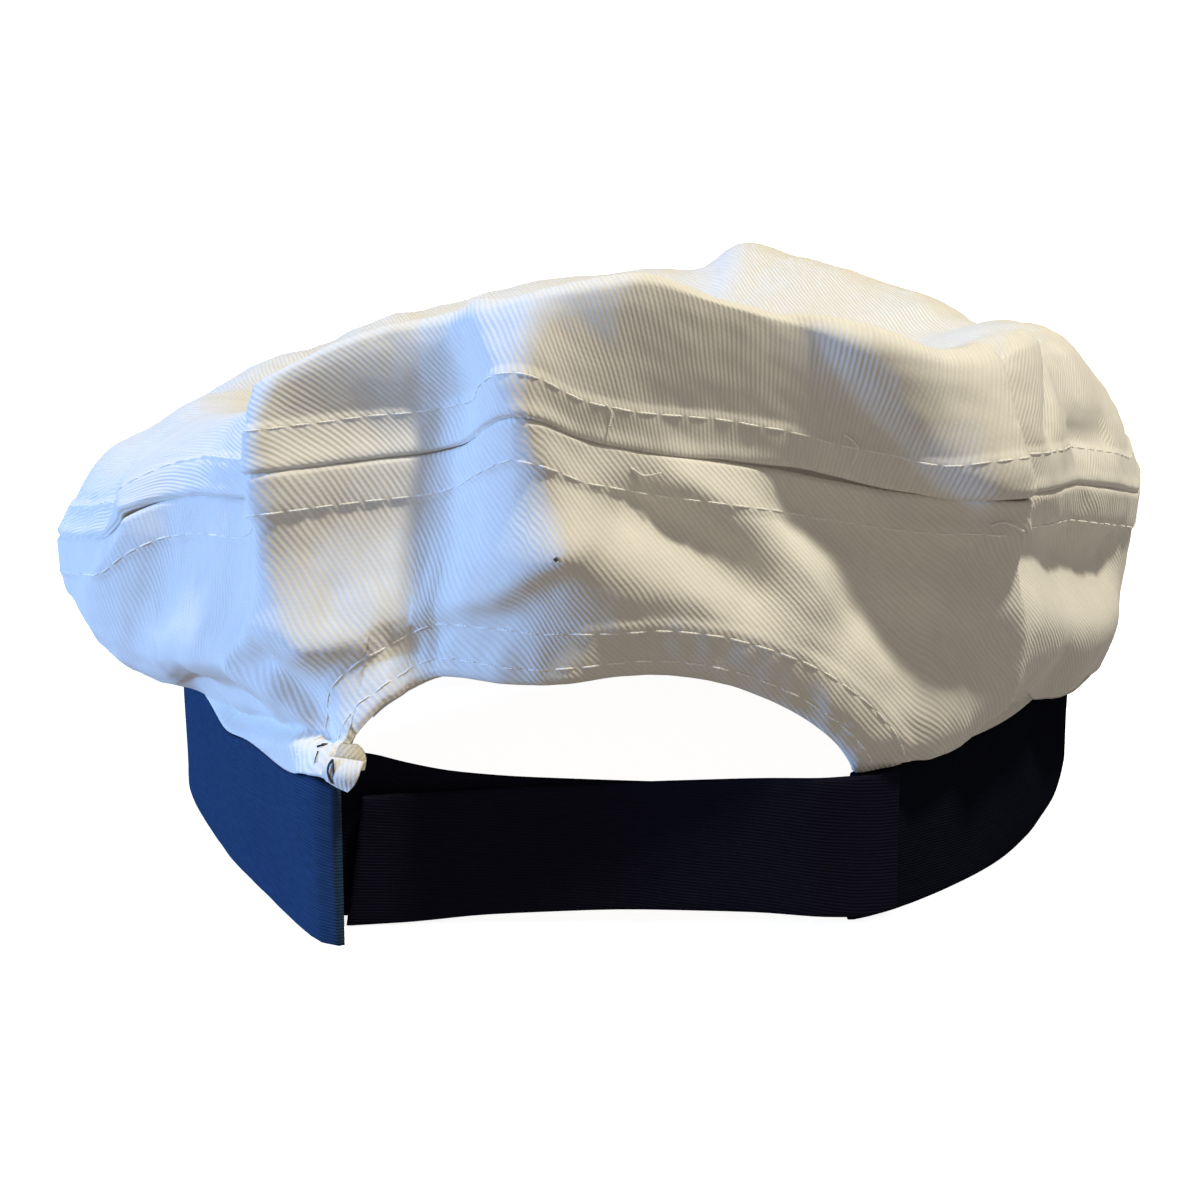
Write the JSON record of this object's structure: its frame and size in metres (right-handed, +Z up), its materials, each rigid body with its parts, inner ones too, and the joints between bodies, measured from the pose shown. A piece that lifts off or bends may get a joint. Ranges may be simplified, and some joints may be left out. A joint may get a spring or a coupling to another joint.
{
  "type": "captain hat",
  "caption": "Soft captain hat with a slouched white twill crown, navy band and peak, an arched back opening and overlapping hook-and-loop straps.",
  "frame": {"origin": "middle of the bounding box, on the surface the hat rests on", "axes": "+Z up, -Y towards the peak at the wearer's front, +Y towards the arched opening at the back, +X towards the wearer's left"},
  "size_m": [0.2048, 0.2478, 0.109],
  "materials": {
    "white_twill": "washed matte cotton twill",
    "navy_twill": "matte cotton twill",
    "navy_tape": "dull hook-and-loop tape faced with twill"
  },
  "bodies": {
    "root": {"crown_top": "white_twill", "crown_side": "white_twill", "arch_facing": "white_twill", "band": "navy_twill", "strap_outer": "navy_tape", "strap_inner": "navy_tape", "peak": "navy_twill"}
  },
  "joints": []
}
